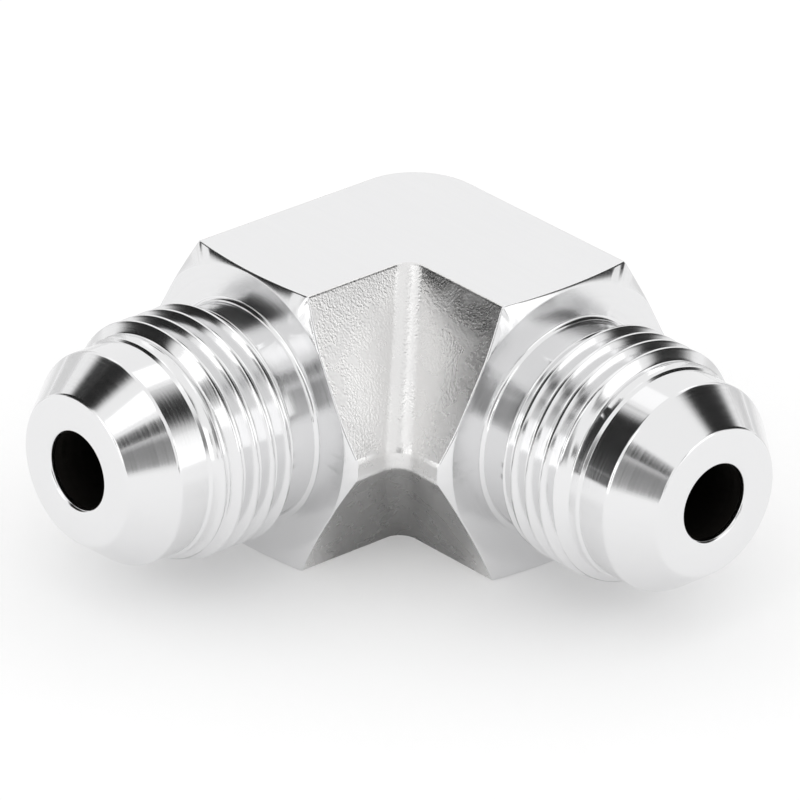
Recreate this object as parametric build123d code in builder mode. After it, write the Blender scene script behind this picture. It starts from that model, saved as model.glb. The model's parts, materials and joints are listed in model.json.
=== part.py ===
from build123d import *
import os
from math import radians, tan

# Right-angle union elbow for 1/2 in tube, with a 37 degree flare end on each
# arm. It is one forging, machined all over except for its leaning side walls.
# The thread is level grooves of its own section and pitch, without its helix.
# Millimetres. Z is up and zero is the lower flat. The two bores cross above
# the origin. One arm points along +X and the other along -Y.

# Forged body, seen along an arm
height_across_flats = 23.4
flat_width = 12.6
width_across_band = 25.2
band_height = 1.5
band_drop = 0.5
band_edge_radius = 1.0

# Forged body, seen from above
back_corner_radius = 5.3
crotch_radius = 1.8
flat_edge_break = 0.2

# Turned shoulder at the end of each forged arm
centre_to_shoulder = 17.3
shoulder_ring_diameter = 22.9
shoulder_lean_deg = 18.0
neck_corner_break = 0.4

# Turned end, each distance measured from the crossing of the bores
centre_to_seat_face = 34.0
centre_to_pilot = 28.1
centre_to_thread_start = 26.3
centre_to_thread_end = 20.75
thread_diameter = 19.05
thread_root_diameter = 17.3
thread_pitch = 1.5875
thread_angle_deg = 60.0
thread_crest_width = 0.22
pilot_diameter = 17.3
neck_diameter = 17.0
seat_angle_deg = 37.0
seat_face_diameter = 12.0
seat_back_diameter = 16.9
seat_face_edge_break = 0.25
seat_back_edge_break = 0.25

# Drilled passage
bore_diameter = 6.2
bore_edge_break = 0.25
drill_point_deg = 118.0

bore_height = height_across_flats / 2
flat_half = flat_width / 2
band_half = width_across_band / 2
band_top = band_height / 2 - band_drop
band_bottom = band_top - band_height

# The back corner is turned about an upright line a little behind the crossing.
back_shift = flat_half - back_corner_radius

ring_radius = shoulder_ring_diameter / 2
thread_radius = thread_diameter / 2
thread_root_radius = thread_root_diameter / 2
pilot_radius = pilot_diameter / 2
neck_radius = neck_diameter / 2
seat_face_radius = seat_face_diameter / 2
seat_back_radius = seat_back_diameter / 2
seat_length = (seat_back_radius - seat_face_radius) / tan(radians(seat_angle_deg))
thread_flank_lean = tan(radians(thread_angle_deg / 2))
groove_mouth_width = thread_pitch - thread_crest_width
groove_root_width = groove_mouth_width - 2 * (thread_radius - thread_root_radius) * thread_flank_lean
thread_middle = (centre_to_thread_start + centre_to_thread_end) / 2
groove_count = int((centre_to_thread_start - centre_to_thread_end) / thread_pitch)
bore_radius = bore_diameter / 2
drill_point_length = bore_radius / tan(radians(drill_point_deg / 2))

# Widest reach of the forging from an arm's axis, for the cut that leans the
# shoulder back outside its ring
corner_reach = bore_height + flat_half
lean_length = (corner_reach - ring_radius) * tan(radians(shoulder_lean_deg))

# An arm's axis runs out along its direction, and its section lies across it.
crossing = (0, 0, bore_height)
arm_directions = [(1, 0, 0), (0, -1, 0)]


def along_arm(direction):
    """Upright plane through the arm's axis: x runs out along it, y is up."""
    side = Vector(0, 0, 1).cross(Vector(direction))
    return Plane(origin=crossing, x_dir=direction, z_dir=-side)


def across_arm(direction, distance):
    """Plane across the arm's axis at a distance from the crossing, y up."""
    side = Vector(0, 0, 1).cross(Vector(direction))
    place = Vector(crossing) + Vector(direction) * distance
    return Plane(origin=place, x_dir=side, z_dir=direction)


with BuildPart() as elbow_body:
    # Forged arms: flat above and below, with side walls that lean out to the
    # upright band where the dies met and the flash was trimmed
    for direction in arm_directions:
        with BuildSketch(across_arm(direction, -back_shift)) as arm_section:
            with BuildLine():
                Polyline(
                    (flat_half, bore_height),
                    (band_half, band_top),
                    (band_half, band_bottom),
                    (flat_half, -bore_height),
                    (-flat_half, -bore_height),
                    (-band_half, band_bottom),
                    (-band_half, band_top),
                    (-flat_half, bore_height),
                    close=True,
                )
            make_face()
            band_corners = arm_section.vertices().filter_by(
                lambda corner: abs(corner.Y) < bore_height / 2
            )
            fillet(band_corners, radius=band_edge_radius)
        extrude(amount=centre_to_shoulder + back_shift)

    # Back corner: the same side, turned a quarter round an upright line
    corner_line = Axis((-back_shift, back_shift, 0), (0, 0, -1))
    corner_plane = Plane(
        origin=(-back_shift, back_shift, bore_height),
        x_dir=(-1, 0, 0),
        z_dir=(0, 1, 0),
    )
    with BuildSketch(corner_plane) as corner_section:
        with BuildLine():
            Polyline(
                (0, bore_height),
                (back_corner_radius, bore_height),
                (band_half - back_shift, band_top),
                (band_half - back_shift, band_bottom),
                (back_corner_radius, -bore_height),
                (0, -bore_height),
                close=True,
            )
        make_face()
        corner_band = corner_section.vertices().filter_by(
            lambda corner: abs(corner.Y) < bore_height / 2
        )
        fillet(corner_band, radius=band_edge_radius)
    revolve(axis=corner_line, revolution_arc=90)

    # Crotch: one run of edges in the upright plane halfway between the arms
    def in_crotch(edge):
        points = [edge @ 0, edge @ 0.5, edge @ 1]
        on_plane = all(abs(point.X + point.Y) < 0.01 for point in points)
        return on_plane and points[1].X > flat_half / 2

    fillet(elbow_body.edges().filter_by(in_crotch), radius=crotch_radius)

    # Broken long edges of the two machined flats
    flats = elbow_body.faces().filter_by(Axis.Z).sort_by(Axis.Z)
    flat_edges = (flats[0].edges() + flats[-1].edges()).filter_by(
        lambda edge: max(edge.center().X, -edge.center().Y) < centre_to_shoulder - 0.01
    )
    chamfer(flat_edges, length=flat_edge_break)

    # Shoulders: outside the ring each one is turned back at a low angle
    for direction in arm_directions:
        with BuildSketch(along_arm(direction)):
            with BuildLine():
                Polyline(
                    (centre_to_shoulder, ring_radius),
                    (centre_to_shoulder, corner_reach),
                    (centre_to_shoulder - lean_length, corner_reach),
                    close=True,
                )
            make_face()
        revolve(axis=Axis(crossing, direction), mode=Mode.SUBTRACT)

    # Turned ends: neck, thread at its full diameter, pilot and flare seat
    for direction in arm_directions:
        with BuildSketch(along_arm(direction)) as end_section:
            with BuildLine():
                Polyline(
                    (centre_to_shoulder - neck_corner_break, 0),
                    (centre_to_shoulder - neck_corner_break, neck_radius + neck_corner_break),
                    (centre_to_shoulder, neck_radius + neck_corner_break),
                    (centre_to_shoulder + neck_corner_break, neck_radius),
                    (centre_to_thread_end - (thread_radius - neck_radius), neck_radius),
                    (centre_to_thread_end, thread_radius),
                    (centre_to_thread_start, thread_radius),
                    (centre_to_thread_start + (thread_radius - pilot_radius), pilot_radius),
                    (centre_to_pilot - (pilot_radius - seat_back_radius), pilot_radius),
                    (centre_to_pilot, seat_back_radius),
                    (centre_to_seat_face - seat_length, seat_back_radius),
                    (centre_to_seat_face, seat_face_radius),
                    (centre_to_seat_face, 0),
                    close=True,
                )
            make_face()
            seat_front = (centre_to_seat_face, seat_face_radius)
            seat_back = (centre_to_seat_face - seat_length, seat_back_radius)
            chamfer(end_section.vertices().sort_by_distance(seat_front)[0], length=seat_face_edge_break)
            chamfer(end_section.vertices().sort_by_distance(seat_back)[0], length=seat_back_edge_break)
        revolve(axis=Axis(crossing, direction))

    # Thread grooves, evenly on both sides of the middle of the thread
    for direction in arm_directions:
        with BuildSketch(along_arm(direction)):
            for groove in range(groove_count):
                place = thread_middle + (groove - (groove_count - 1) / 2) * thread_pitch
                with BuildLine():
                    Polyline(
                        (place - groove_root_width / 2, thread_root_radius),
                        (place - groove_mouth_width / 2, thread_radius),
                        (place + groove_mouth_width / 2, thread_radius),
                        (place + groove_root_width / 2, thread_root_radius),
                        close=True,
                    )
                make_face()
        revolve(axis=Axis(crossing, direction), mode=Mode.SUBTRACT)

    # Passage: drilled in from both seats until the two drill points cross
    for direction in arm_directions:
        mouth_radius = bore_radius + bore_edge_break
        with BuildSketch(along_arm(direction)):
            with BuildLine():
                Polyline(
                    (-drill_point_length, 0),
                    (0, bore_radius),
                    (centre_to_seat_face - bore_edge_break, bore_radius),
                    (centre_to_seat_face, mouth_radius),
                    (centre_to_seat_face, 0),
                    close=True,
                )
            make_face()
        revolve(axis=Axis(crossing, direction), mode=Mode.SUBTRACT)


elbow_body.part.label = "elbow_body"

os.makedirs("parts", exist_ok=True)
export_step(elbow_body.part, "parts/elbow_body.step")
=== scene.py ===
import json
import math

import bmesh
import bpy
from mathutils import Matrix, Vector


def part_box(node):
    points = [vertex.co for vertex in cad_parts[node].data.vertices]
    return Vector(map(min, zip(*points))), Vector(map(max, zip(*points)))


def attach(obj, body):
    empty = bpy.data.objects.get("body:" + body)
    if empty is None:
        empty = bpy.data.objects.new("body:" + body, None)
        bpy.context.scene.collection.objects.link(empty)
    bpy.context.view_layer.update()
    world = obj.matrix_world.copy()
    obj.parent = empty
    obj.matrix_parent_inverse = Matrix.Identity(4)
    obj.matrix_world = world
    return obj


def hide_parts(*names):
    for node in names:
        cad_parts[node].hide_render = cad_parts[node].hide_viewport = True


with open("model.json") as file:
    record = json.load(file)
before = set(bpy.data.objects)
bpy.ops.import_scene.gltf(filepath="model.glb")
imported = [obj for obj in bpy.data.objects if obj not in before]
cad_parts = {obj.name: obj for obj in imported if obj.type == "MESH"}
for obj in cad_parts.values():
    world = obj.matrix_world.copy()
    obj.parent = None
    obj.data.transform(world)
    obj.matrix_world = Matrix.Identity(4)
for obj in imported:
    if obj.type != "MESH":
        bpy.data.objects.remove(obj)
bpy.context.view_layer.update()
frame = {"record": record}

# Forged body. A right-angle block of stainless steel, hot forged between two
# dies and blasted. Its side walls lean out to the upright band where the flash
# was trimmed off. Above and below, a flat for the wrench is milled and ground.
mm = 0.001
low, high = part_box("elbow_body")
bore_height = high.z / mm / 2
band_half = -low.x / mm
flat_half = 6.3
band_top = 0.25
band_bottom = -1.25
band_rounding = 1.0
flat_edge_rounding = 0.3
back_corner_radius = 5.3
crotch_radius = 1.8
outline_spacing = 0.5
corner_steps = 24
arc_steps = 5

wall_lean = math.atan2(band_half - flat_half, bore_height - band_top)
back_shift = flat_half - back_corner_radius

metal = bmesh.new()
skin_map = metal.loops.layers.uv.new("skin")
vertices = {}
SATIN, BLASTED, FACED, TURNED, SHADE_PAINTED_BORE = range(5)


def vertex(x, y, z):
    """The vertex at a place in millimetres from the crossing of the bores."""
    place = (round(x, 4), round(y, 4), round(z, 4))
    if place not in vertices:
        vertices[place] = metal.verts.new((x * mm, y * mm, (z + bore_height) * mm))
    return vertices[place]


def skin(rows, finish):
    """Faces between each two neighbouring rows of vertices with their map places."""
    for row, other in zip(rows, rows[1:]):
        pairs = list(zip(row, other))
        for (a, b), (c, d) in zip(pairs, pairs[1:]):
            corners = {}
            for corner, place in (a, c, d, b):
                corners.setdefault(corner, place)
            if len(corners) > 2:
                face = metal.faces.new(list(corners))
                face.material_index = finish
                face.smooth = True
                for loop, place in zip(face.loops, corners.values()):
                    loop[skin_map].uv = place


def rounded(corners, radii):
    """The line through the corners, with an arc of its own radius at each."""
    line = []
    for i, (corner, radius) in enumerate(zip(corners, radii)):
        here = Vector(corner)
        if radius == 0:
            line.append(here)
            continue
        back = (Vector(corners[i - 1]) - here).normalized()
        on = (Vector(corners[i + 1]) - here).normalized()
        half_angle = back.angle(on) / 2
        centre = here + (back + on).normalized() * radius / math.sin(half_angle)
        first = here + back * radius / math.tan(half_angle) - centre
        last = here + on * radius / math.tan(half_angle) - centre
        turn = first.angle_signed(last)
        for k in range(arc_steps + 1):
            line.append(centre + Matrix.Rotation(-turn * k / arc_steps, 2) @ first)
    return line


def spaced(line, spacing):
    """The same line with points added on its long runs."""
    points = []
    for a, b in zip(line, line[1:]):
        runs = max(1, math.ceil((b - a).length / spacing))
        points += [a.lerp(b, k / runs) for k in range(runs)]
    return points + [line[-1]]


# A side wall seen along an arm: out from the axis and up, flat to flat
side_wall = rounded(
    [
        (0, bore_height),
        (flat_half, bore_height),
        (band_half, band_top),
        (band_half, band_bottom),
        (flat_half, -bore_height),
        (0, -bore_height),
    ],
    [0, flat_edge_rounding, band_rounding, band_rounding, flat_edge_rounding, 0],
)
side_wall = spaced(side_wall[1:-1], outline_spacing)


def across_flat(edge):
    """Places across a flat, from its outer edge to its inner edge."""
    strips = math.ceil(2 * flat_half / outline_spacing)
    return [edge.x * (2 * k / strips - 1) for k in range(strips + 1)]


# Shoulder of each arm, which ends the walls and flats: faced square inside a
# ring, turned back at a low angle outside it, with a broken outer edge
centre_to_shoulder = 17.3
shoulder_ring_radius = 11.45
shoulder_lean = math.radians(18)
shoulder_edge_break = 0.12
shoulder_edge_insets = (0, 0.3, 1)


def shoulder_depth(out, up):
    """How far from the crossing of the bores the shoulder lies."""
    past_ring = math.hypot(out, up) - shoulder_ring_radius
    return centre_to_shoulder - max(0, past_ring) * math.tan(shoulder_lean)


def level_line(out, up, inner):
    """From the right shoulder round the corner to the left one, at one height."""
    side = 1 if inner else -1
    wall_at_height = flat_half + (bore_height - abs(up)) * math.tan(wall_lean)
    if inner:
        radius = crotch_radius * math.cos(wall_lean) + max(0, wall_at_height - out)
        centre = Vector((out + radius, -out - radius))
    else:
        radius = out - back_shift
        centre = Vector((-back_shift, back_shift))
    depth = shoulder_depth(out, up) - shoulder_edge_break
    line = [Vector((depth, -side * out, up))]
    for k in range(corner_steps + 1):
        angle = math.pi / 2 * (1 + k / corner_steps)
        x, y = centre + radius * Vector((math.cos(angle), math.sin(angle)))
        line.append(Vector((x, y, up)))
    return line + [Vector((side * out, -depth, up))]


for inner in (True, False):
    lines = [level_line(out, up, inner) for out, up in side_wall]
    skin([[(vertex(x, y, z), (x - y, z)) for x, y, z in line] for line in lines], BLASTED)

for edge in (side_wall[0], side_wall[-1]):
    outer_line = level_line(edge.x, edge.y, False)
    inner_line = level_line(edge.x, edge.y, True)
    lines = []
    for out in across_flat(edge):
        depth = shoulder_depth(out, edge.y) - shoulder_edge_break
        share = (1 + out / edge.x) / 2
        line = [a.lerp(b, share) for a, b in zip(outer_line, inner_line)]
        line[0] = Vector((depth, -out, edge.y))
        line[-1] = Vector((out, -depth, edge.y))
        lines.append(line)
    skin([[(vertex(x, y, z), (x, y)) for x, y, z in line] for line in lines], SATIN)


def finish_of(name, color, roughness):
    """A metal finish with its node tree, ready for its own marks."""
    material = bpy.data.materials.new(name)
    material.use_nodes = True
    nodes = material.node_tree.nodes
    shader = nodes["Principled BSDF"]
    shader.inputs["Base Color"].default_value = (*color, 1)
    shader.inputs["Metallic"].default_value = 1
    shader.inputs["Roughness"].default_value = roughness
    return material, shader


def grain(material, name, fineness, stretch, detail, source="Object"):
    """Noise in the finish, stretched along its marks."""
    nodes, links = material.node_tree.nodes, material.node_tree.links
    place = nodes.get("place") or nodes.new("ShaderNodeTexCoord")
    place.name = "place"
    mapping = nodes.new("ShaderNodeMapping")
    mapping.inputs["Scale"].default_value = stretch
    noise = nodes.new("ShaderNodeTexNoise")
    noise.name = name
    noise.inputs["Scale"].default_value = fineness
    noise.inputs["Detail"].default_value = detail
    links.new(place.outputs[source], mapping.inputs["Vector"])
    links.new(mapping.outputs["Vector"], noise.inputs["Vector"])
    return noise.outputs["Fac"]


def spread(material, value, lowest, highest, socket):
    """Takes a grain's usual range to the range that a socket needs."""
    span = material.node_tree.nodes.new("ShaderNodeMapRange")
    span.inputs["From Min"].default_value = 0.3
    span.inputs["From Max"].default_value = 0.7
    span.inputs["To Min"].default_value = lowest
    span.inputs["To Max"].default_value = highest
    material.node_tree.links.new(value, span.inputs["Value"])
    material.node_tree.links.new(span.outputs["Result"], socket)


def relief(material, shader, value, depth, strength):
    """Raises the finish by a grain, so many millimetres deep."""
    bump = material.node_tree.nodes.new("ShaderNodeBump")
    bump.inputs["Distance"].default_value = depth * mm
    bump.inputs["Strength"].default_value = strength
    material.node_tree.links.new(value, bump.inputs["Height"])
    material.node_tree.links.new(bump.outputs["Normal"], shader.inputs["Normal"])


ground, ground_shader = finish_of("ground_flat", (0.85, 0.85, 0.855), 0.34)
grinding = grain(ground, "grinding", fineness=3000, stretch=(0.04, 1, 1), detail=3)
spread(ground, grinding, lowest=0.3, highest=0.4, socket=ground_shader.inputs["Roughness"])
relief(ground, ground_shader, grinding, depth=0.004, strength=0.3)

blasted, blasted_shader = finish_of("blasted_wall", (0.8, 0.795, 0.79), 0.32)
peening = grain(blasted, "peening", fineness=5500, stretch=(1, 1, 1), detail=2)
scale = grain(blasted, "scale", fineness=500, stretch=(1, 1, 1), detail=4)
spread(blasted, scale, lowest=0.23, highest=0.32, socket=blasted_shader.inputs["Roughness"])
relief(blasted, blasted_shader, peening, depth=0.04, strength=0.7)

# Threaded ends. Each end is turned from the same forging in a lathe: a neck
# beside the shoulder, a right-hand 3/4-16 thread, a plain pilot and a 37
# degree flare seat, all polished bright. The passage is drilled in from it.
mounts = {mount["name"]: mount for mount in frame["record"]["mounts"]}
thread_radius = mounts["right_thread"]["dims"]["r_mm"]
bore_radius = mounts["right_bore"]["dims"]["r_mm"]
centre_to_seat_face = high.x / mm
centre_to_pilot = 28.1
centre_to_thread_start = 26.3
centre_to_thread_end = 20.75
ring_softness = 0.05
neck_radius = 8.5
neck_rounding = 0.45
pilot_radius = 8.65
pilot_edge_rounding = 0.06
seat_angle = math.radians(37)
seat_face_radius = 6.0
seat_back_radius = 8.45
seat_face_rounding = 0.4
seat_back_rounding = 0.5
thread_pitch = 25.4 / 16
thread_flank = math.radians(30)
crest_half = 0.11
crest_rounding = 0.06
root_rounding = 0.15
thread_spacing = 0.2
bore_edge_break = 0.25
drill_point = math.radians(59)

neck_end = centre_to_thread_end - (thread_radius - neck_radius)
pilot_start = centre_to_thread_start + (thread_radius - pilot_radius)
seat_length = (seat_back_radius - seat_face_radius) / math.tan(seat_angle)
root_half = thread_pitch / 2 - crest_half - (thread_radius - pilot_radius) * math.tan(thread_flank)
drill_length = bore_radius / math.tan(drill_point)

thread_line = spaced(
    rounded(
        [
            (-thread_pitch / 2, pilot_radius),
            (-thread_pitch / 2 + root_half, pilot_radius),
            (-crest_half, thread_radius),
            (crest_half, thread_radius),
            (thread_pitch / 2 - root_half, pilot_radius),
            (thread_pitch / 2, pilot_radius),
        ],
        [0, root_rounding, crest_rounding, crest_rounding, root_rounding, 0],
    ),
    thread_spacing,
)
neck_line = rounded(
    [
        (centre_to_shoulder, neck_radius + neck_rounding * 2),
        (centre_to_shoulder, neck_radius),
        (neck_end, neck_radius),
    ],
    [0, neck_rounding, 0],
)
seat_line = rounded(
    [
        (pilot_start, pilot_radius),
        (centre_to_pilot - (pilot_radius - seat_back_radius), pilot_radius),
        (centre_to_pilot, seat_back_radius),
        (centre_to_seat_face - seat_length, seat_back_radius),
        (centre_to_seat_face, seat_face_radius),
        (centre_to_seat_face, bore_radius),
        (centre_to_seat_face - bore_edge_break * 2, bore_radius),
    ],
    [
        0,
        pilot_edge_rounding,
        pilot_edge_rounding,
        seat_back_rounding,
        seat_face_rounding,
        bore_edge_break,
        0,
    ],
)

# Once round an arm: over the upper flat, down the inner wall and back
upper_flat = [Vector((out, bore_height)) for out in across_flat(side_wall[0])[1:-1]]
lower_flat = [Vector((-out, -bore_height)) for out in across_flat(side_wall[-1])[1:-1]]
outer_wall = [Vector((-corner.x, corner.y)) for corner in reversed(side_wall)]
once_round = upper_flat + side_wall + lower_flat + outer_wall + upper_flat[:1]
angles = [math.atan2(corner.x, corner.y) for corner in once_round]
angles = [angle + math.tau * (i > len(angles) / 2 and angle < 0) for i, angle in enumerate(angles)]


def thread_limit(depth):
    """The radius that the thread is turned down to at its two ends."""
    at_start = max(pilot_radius, thread_radius - max(0, depth - centre_to_thread_start))
    at_end = max(neck_radius, thread_radius - max(0, centre_to_thread_end - depth))
    return min(at_start, at_end)


def shoulder_rings():
    """Rings of (depth, radius) from the shoulder's edge in to the neck."""
    rings = []
    for inset in shoulder_edge_insets:
        ring = []
        for corner in once_round:
            spot = corner * (1 - inset * shoulder_edge_break / corner.length)
            ring.append((shoulder_depth(*spot) - shoulder_edge_break * (1 - inset) ** 2, spot.length))
        rings.append(ring)
    for radius in (shoulder_ring_radius + ring_softness, shoulder_ring_radius - ring_softness):
        ring = [min(radius, reach) for depth, reach in rings[2]]
        rings.append([(shoulder_depth(reach, 0), reach) for reach in ring])
    return rings + [[neck_line[1]] * len(angles)]


def end_rings(hand):
    """Rings from the neck over the thread and the seat into the bore's mouth."""
    rings = [[spot] * len(angles) for spot in neck_line[1:]]
    for turn in range(-1, math.ceil((pilot_start - neck_end) / thread_pitch) + 2):
        for along, radius in thread_line[:-1]:
            ring = []
            for angle in angles:
                depth = neck_end + along + thread_pitch * (turn + hand * angle / math.tau)
                depth = min(max(depth, neck_end), pilot_start)
                ring.append((depth, min(radius, thread_limit(depth))))
            rings.append(ring)
    return rings + [[spot] * len(angles) for spot in seat_line]


def bore_rings():
    """Rings down the bore to the plane where the two passages meet."""
    mouth = [seat_line[-1]] * len(angles)
    meeting, drill_tip = [], []
    for angle in angles:
        toward = bore_radius * math.sin(angle)
        past = max(0, -toward) / (1 + max(0, -toward) / drill_length)
        meeting.append((max(0, toward), bore_radius))
        drill_tip.append((max(0, toward) - past, bore_radius * (1 - past / drill_length)))
    return [mouth, meeting, drill_tip]


def lathe_skin(rings, place, finish):
    """Skins rings on one arm, mapped along the cut and once round."""
    rows = []
    travel = [-ring[1] for ring in rings[0]]
    before = rings[0]
    for ring in rings:
        row = []
        for i, ((depth, radius), angle) in enumerate(zip(ring, angles)):
            travel[i] += math.dist(before[i], (depth, radius))
            x, y, z = place @ Vector((depth, radius * math.sin(angle), radius * math.cos(angle)))
            row.append((vertex(x, y, z), (travel[i], angle / math.tau)))
        rows.append(row)
        before = ring
    skin(rows, finish)


right_arm = Matrix(((1, 0, 0), (0, -1, 0), (0, 0, 1)))
left_arm = Matrix(((0, 1, 0), (-1, 0, 0), (0, 0, 1)))
for place, hand in ((right_arm, 1), (left_arm, -1)):
    lathe_skin(shoulder_rings(), place, FACED)
    lathe_skin(end_rings(hand), place, TURNED)
    lathe_skin(bore_rings(), place, SHADE_PAINTED_BORE)


def turned_finish(name, roughest, across, line_depth):
    """Bright steel with turning lines, blurred most across the lines."""
    material, shader = finish_of(name, (0.82, 0.82, 0.825), roughest)
    shader.inputs["Anisotropic"].default_value = across
    tangent = material.node_tree.nodes.new("ShaderNodeTangent")
    tangent.direction_type = "UV_MAP"
    tangent.uv_map = "skin"
    material.node_tree.links.new(tangent.outputs["Tangent"], shader.inputs["Tangent"])
    lines = grain(material, "turning_lines", fineness=6, stretch=(1, 0.5, 1), detail=3, source="UV")
    spread(material, lines, roughest * 0.7, roughest, shader.inputs["Roughness"])
    relief(material, shader, lines, line_depth, 0.2)
    return material


faced = turned_finish("faced_shoulder", roughest=0.22, across=0.85, line_depth=0.001)
turned = turned_finish("turned_bright", roughest=0.17, across=0.7, line_depth=0.004)

# The bore is rough drilled steel, but its base colour is painted shade: nearly black, for the shade deep in
# the passage, darker than drilled steel itself
bore_steel_painted_shade, bore_painted_shade_shader = finish_of("drilled_bore_painted_shade", (0.06, 0.055, 0.05), 0.5)
drill_marks = grain(bore_steel_painted_shade, "drill_marks", fineness=4, stretch=(1, 0.5, 1), detail=2, source="UV")
spread(bore_steel_painted_shade, drill_marks, lowest=0.4, highest=0.6, socket=bore_painted_shade_shader.inputs["Roughness"])
relief(bore_steel_painted_shade, bore_painted_shade_shader, drill_marks, depth=0.01, strength=0.5)

# The elbow. Body and ends are one piece of steel with no joint or weld, so all
# of the above is one closed mesh, and it stands for the one solid.
bmesh.ops.recalc_face_normals(metal, faces=metal.faces)
elbow_mesh = bpy.data.meshes.new("elbow")
metal.to_mesh(elbow_mesh)
metal.free()
for finish in (ground, blasted, faced, turned, bore_steel_painted_shade):
    elbow_mesh.materials.append(finish)
elbow = bpy.data.objects.new("elbow", elbow_mesh)
bpy.context.scene.collection.objects.link(elbow)
elbow.modifiers.new("even_shading", "WEIGHTED_NORMAL")
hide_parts("elbow_body")
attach(elbow, "root")

# Floor. A wide sheet of white paper, which shows pure white round the elbow
# and keeps its soft shadow. The white room above it lights everything evenly.
floor_reach = 3
paper_lift = 0.2
floor_mesh = bpy.data.meshes.new("floor")
corners = [(x * floor_reach, y * floor_reach, 0) for x, y in ((-1, -1), (1, -1), (1, 1), (-1, 1))]
floor_mesh.from_pydata(corners, [], [(0, 1, 2, 3)])
floor = bpy.data.objects.new("floor", floor_mesh)
bpy.context.scene.collection.objects.link(floor)
paper = bpy.data.materials.new("white_paper")
paper.use_nodes = True
paper_shader = paper.node_tree.nodes["Principled BSDF"]
paper_shader.inputs["Base Color"].default_value = (0.8, 0.8, 0.8, 1)
paper_shader.inputs["Roughness"].default_value = 1
paper_shader.inputs["Specular IOR Level"].default_value = 0
paper_shader.inputs["Emission Color"].default_value = (1, 1, 1, 1)
rays = paper.node_tree.nodes.new("ShaderNodeLightPath")
seen = paper.node_tree.nodes.new("ShaderNodeMath")
seen.operation = "ADD"
paper.node_tree.links.new(rays.outputs["Is Camera Ray"], seen.inputs[0])
paper.node_tree.links.new(rays.outputs["Is Glossy Ray"], seen.inputs[1])
seen_through = paper.node_tree.nodes.new("ShaderNodeMath")
seen_through.operation = "ADD"
paper.node_tree.links.new(seen.outputs["Value"], seen_through.inputs[0])
paper.node_tree.links.new(rays.outputs["Is Transmission Ray"], seen_through.inputs[1])
lift = paper.node_tree.nodes.new("ShaderNodeMath")
lift.operation = "MULTIPLY"
lift.inputs[1].default_value = paper_lift
paper.node_tree.links.new(seen_through.outputs["Value"], lift.inputs[0])
paper.node_tree.links.new(lift.outputs["Value"], paper_shader.inputs["Emission Strength"])
floor_mesh.materials.append(paper)

room = bpy.data.worlds.new("white_room")
room.use_nodes = True
room.node_tree.nodes["Background"].inputs["Color"].default_value = (1, 1, 1, 1)
bpy.context.scene.world = room

# Cards and softboxes. Black and grey cards beside the elbow draw the dark
# bands on its polished ends, and softboxes draw the brightest ones. They hang
# out of view, placed by compass from +Y towards +X and by height, in degrees.
card_distance = 0.75
floor_card_lift = 0.0001


def hang(thing, azimuth, height):
    """Hangs a card or lamp at the card distance, facing the elbow."""
    azimuth, height = math.radians(azimuth), math.radians(height)
    outward = Vector(
        (
            math.sin(azimuth) * math.cos(height),
            math.cos(azimuth) * math.cos(height),
            math.sin(height),
        )
    )
    middle = Vector((0, 0, bore_height * mm))
    facing = outward.to_track_quat("Z", "Y").to_matrix().to_4x4()
    thing.matrix_world = Matrix.Translation(middle + outward * card_distance) @ facing
    bpy.context.scene.collection.objects.link(thing)


def board(name, half_width, half_height, grey, feather):
    """A flat card, seen in reflections only, whose rim fades over a share of it."""
    stops = (-1, feather - 1, 1 - feather, 1)
    corners = [(x * half_width, y * half_height, 0) for y in stops for x in stops]
    squares = [(i, i + 1, i + 5, i + 4) for i in range(12) if i % 4 < 3]
    mesh = bpy.data.meshes.new(name)
    mesh.from_pydata(corners, [], squares)
    inner_corners = (5, 6, 9, 10)
    cover = mesh.attributes.new("cover", "FLOAT", "POINT")
    for i in inner_corners:
        cover.data[i].value = 1
    felt = bpy.data.materials.new(name)
    felt.use_nodes = True
    nodes, links = felt.node_tree.nodes, felt.node_tree.links
    felt_shader = nodes["Principled BSDF"]
    felt_shader.inputs["Base Color"].default_value = (grey, grey, grey, 1)
    felt_shader.inputs["Roughness"].default_value = 1
    felt_shader.inputs["Specular IOR Level"].default_value = 0
    covered = nodes.new("ShaderNodeAttribute")
    covered.attribute_name = "cover"
    fade = nodes.new("ShaderNodeMixShader")
    links.new(covered.outputs["Fac"], fade.inputs["Fac"])
    links.new(nodes.new("ShaderNodeBsdfTransparent").outputs["BSDF"], fade.inputs[1])
    links.new(felt_shader.outputs["BSDF"], fade.inputs[2])
    links.new(fade.outputs["Shader"], nodes["Material Output"].inputs["Surface"])
    mesh.materials.append(felt)
    thing = bpy.data.objects.new(name, mesh)
    thing.visible_camera = False
    thing.visible_diffuse = False
    thing.visible_shadow = False
    return thing


def card(name, azimuths, heights, grey, feather):
    """A card that covers a range of compass and height."""
    azimuth, height = sum(azimuths) / 2, sum(heights) / 2
    half_width = card_distance * math.radians(azimuths[1] - azimuths[0]) / 2 * math.cos(math.radians(height))
    half_height = card_distance * math.tan(math.radians(heights[1] - heights[0]) / 2)
    hang(board(name, half_width, half_height, grey, feather), azimuth, height)


def softbox(name, azimuths, heights, brightness):
    """A soft lamp over a range of compass and height; brightness 1 is white."""
    azimuth, height = sum(azimuths) / 2, sum(heights) / 2
    lamp = bpy.data.lights.new(name, "AREA")
    lamp.shape = "RECTANGLE"
    lamp.size = card_distance * math.radians(azimuths[1] - azimuths[0]) * math.cos(math.radians(height))
    lamp.size_y = 2 * card_distance * math.tan(math.radians(heights[1] - heights[0]) / 2)
    lamp.energy = brightness * math.pi * lamp.size * lamp.size_y
    hang(bpy.data.objects.new(name, lamp), azimuth, height)


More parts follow.
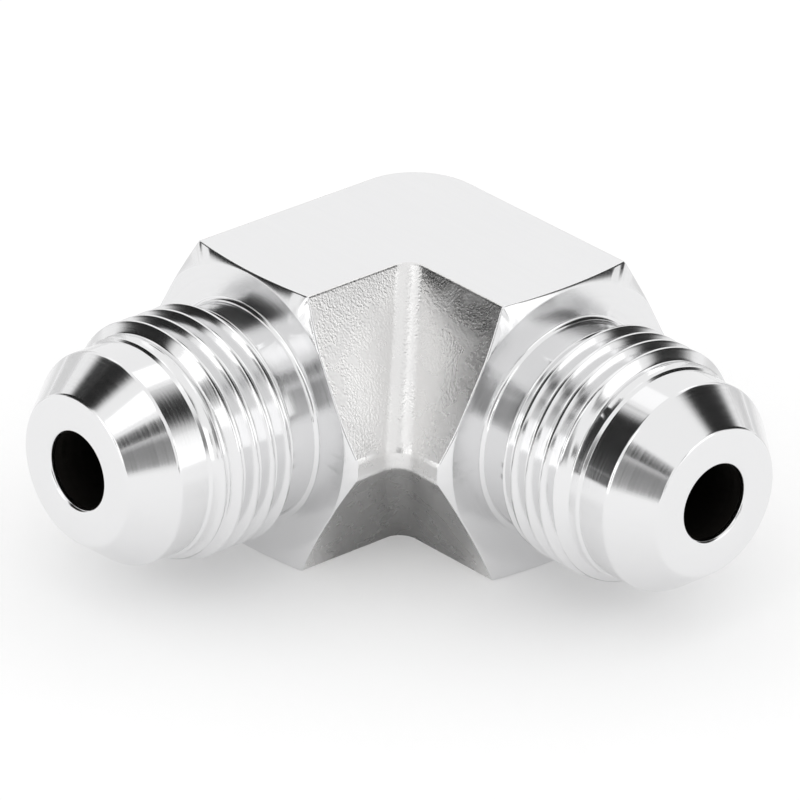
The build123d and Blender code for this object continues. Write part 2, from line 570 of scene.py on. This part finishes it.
card("left_card", (-156, -102), (5, 50), 0.02, 0.22)
card("left_card_top", (-158, -98), (40, 68), 0.02, 0.4)
card("left_card_foot", (-150, -128), (-4, 9), 0.02, 0.3)
card("far_left_card", (-104, -56), (-2, 20), 0.8, 0.4)
card("far_right_card", (-36, 2), (-2, 20), 0.75, 0.4)
card("right_card", (-1, 53), (2, 58), 0.02, 0.25)
card("camera_top", (130, 148), (29, 42), 0.03, 0.2)
card("camera_stand", (122, 152), (0, 31), 0.25, 0.4)
card("left_strip", (173, 187), (2, 20), 0.02, 0.3)
card("right_strip", (81, 89), (12, 25), 0.2, 0.4)
card("front_strip", (99, 108), (-6, 5), 0.02, 0.3)
# Cards that lie on the floor: reach and place in metres, grey and feather
for name, reach, x, y, grey, feather in (
    # The card under the elbow is painted shade: a mid-grey sheet seen only in reflections, standing in for
    # the shade beneath its lower walls and ends
    ("under_card_painted_shade", 0.014, 0.003, -0.003, 0.5, 0.3),
    ("left_floor_card", 0.15, -0.19, 0.04, 0.8, 0.5),
    ("right_floor_card", 0.15, -0.04, 0.19, 0.75, 0.5),
):
    floor_card = board(name, reach, reach, grey, feather)
    floor_card.location = (x, y, floor_card_lift)
    bpy.context.scene.collection.objects.link(floor_card)

softbox("back_softbox", (-32, -2), (42, 60), 0.5)
softbox("front_softbox", (147, 175), (44, 62), 0.5)
softbox("right_softbox", (55, 80), (-5, 28), 0.5)
softbox("left_softbox", (165, 200), (-12, 28), 0.8)
softbox("far_softbox", (-86, -60), (40, 56), 0.2)

# Camera. It looks at the elbow from the crotch side and above, from far off
# through a long lens, with the photograph's small tilt.
view_azimuth = math.radians(47.357)
view_height = math.radians(26.816)
view_roll = math.radians(1.783)
view_distance = 695.2
aim_right = -0.975
aim_up = -4.251
focal_pixels = 8972.2
photo_pixels = 800
sensor = 36

back = Vector(
    (
        math.sin(view_azimuth) * math.cos(view_height),
        -math.cos(view_azimuth) * math.cos(view_height),
        math.sin(view_height),
    )
)
level_right = Vector((math.cos(view_azimuth), math.sin(view_azimuth), 0))
level_up = back.cross(level_right)
right = math.cos(view_roll) * level_right + math.sin(view_roll) * level_up
up = math.cos(view_roll) * level_up - math.sin(view_roll) * level_right
eye = right * aim_right + up * aim_up + back * view_distance + Vector((0, 0, bore_height))

camera_data = bpy.data.cameras.new("camera")
camera_data.sensor_width = sensor
camera_data.lens = focal_pixels / photo_pixels * sensor
camera_data.clip_start = 0.01
camera = bpy.data.objects.new("camera", camera_data)
camera.matrix_world = Matrix.Translation(eye * mm) @ Matrix((right, up, back)).transposed().to_4x4()
bpy.context.scene.collection.objects.link(camera)
bpy.context.scene.camera = camera
bpy.context.scene.view_settings.view_transform = "Standard"
